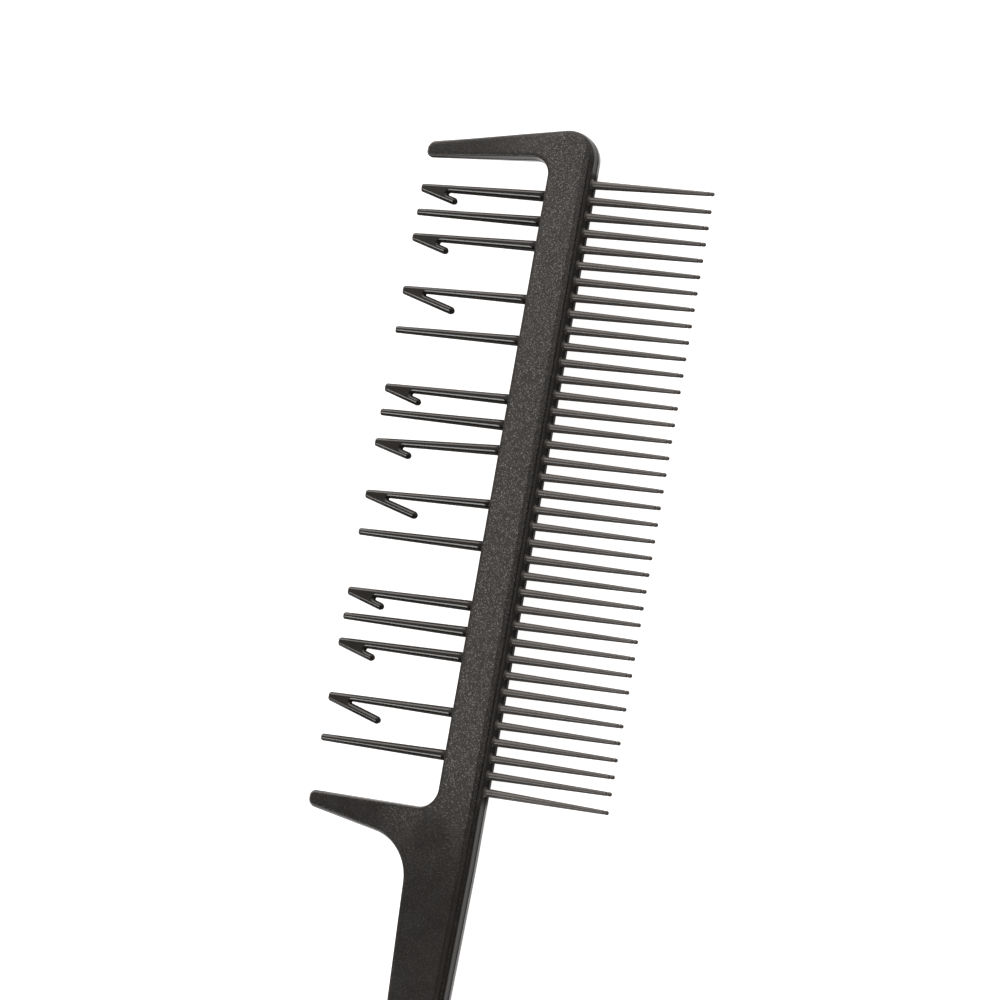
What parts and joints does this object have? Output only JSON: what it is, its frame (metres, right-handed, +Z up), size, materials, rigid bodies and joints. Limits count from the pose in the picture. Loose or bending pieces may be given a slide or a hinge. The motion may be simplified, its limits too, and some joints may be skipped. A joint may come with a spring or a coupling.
{
  "type": "hair comb",
  "caption": "Flat double-sided tail comb: fine teeth along one side, hooked teeth and pins between two guards along the other, and a slim tapering tail for parting hair.",
  "frame": {"origin": "middle of the bounding box, on the surface that the comb lies flat on", "axes": "+Y along the comb from the tail to the head, +X towards the fine teeth, -X towards the hooked teeth, +Z up out of the upper face"},
  "size_m": [0.0542, 0.235, 0.0036],
  "materials": {
    "grained_plastic": "fine moulded grain on the faces",
    "polished_plastic": "smooth satin gloss of polished tooth cavities"
  },
  "bodies": {
    "root": {"upper_guard": "grained_plastic", "spine": "grained_plastic", "lower_guard": "grained_plastic", "tail_handle": "grained_plastic", "short_hook_01": "polished_plastic", "pin_02": "polished_plastic", "short_hook_03": "polished_plastic", "long_hook_04": "polished_plastic", "pin_05": "polished_plastic", "short_hook_06": "polished_plastic", "pin_07": "polished_plastic", "short_hook_08": "polished_plastic", "long_hook_09": "polished_plastic", "pin_10": "polished_plastic", "short_hook_11": "polished_plastic", "pin_12": "polished_plastic", "short_hook_13": "polished_plastic", "long_hook_14": "polished_plastic", "pin_15": "polished_plastic", "fine_tooth_01": "polished_plastic", "fine_tooth_02": "polished_plastic", "fine_tooth_03": "polished_plastic", "fine_tooth_04": "polished_plastic", "fine_tooth_05": "polished_plastic", "fine_tooth_06": "polished_plastic", "fine_tooth_07": "polished_plastic", "fine_tooth_08": "polished_plastic", "fine_tooth_09": "polished_plastic", "fine_tooth_10": "polished_plastic", "fine_tooth_11": "polished_plastic", "fine_tooth_12": "polished_plastic", "fine_tooth_13": "polished_plastic", "fine_tooth_14": "polished_plastic", "fine_tooth_15": "polished_plastic", "fine_tooth_16": "polished_plastic", "fine_tooth_17": "polished_plastic", "fine_tooth_18": "polished_plastic", "fine_tooth_19": "polished_plastic", "fine_tooth_20": "polished_plastic", "fine_tooth_21": "polished_plastic", "fine_tooth_22": "polished_plastic", "fine_tooth_23": "polished_plastic", "fine_tooth_24": "polished_plastic", "fine_tooth_25": "polished_plastic", "fine_tooth_26": "polished_plastic", "fine_tooth_27": "polished_plastic", "fine_tooth_28": "polished_plastic", "fine_tooth_29": "polished_plastic", "fine_tooth_30": "polished_plastic", "fine_tooth_31": "polished_plastic", "fine_tooth_32": "polished_plastic", "fine_tooth_33": "polished_plastic", "fine_tooth_34": "polished_plastic", "fine_tooth_35": "polished_plastic", "fine_tooth_36": "polished_plastic", "fine_tooth_37": "polished_plastic", "fine_tooth_38": "polished_plastic"}
  },
  "joints": []
}
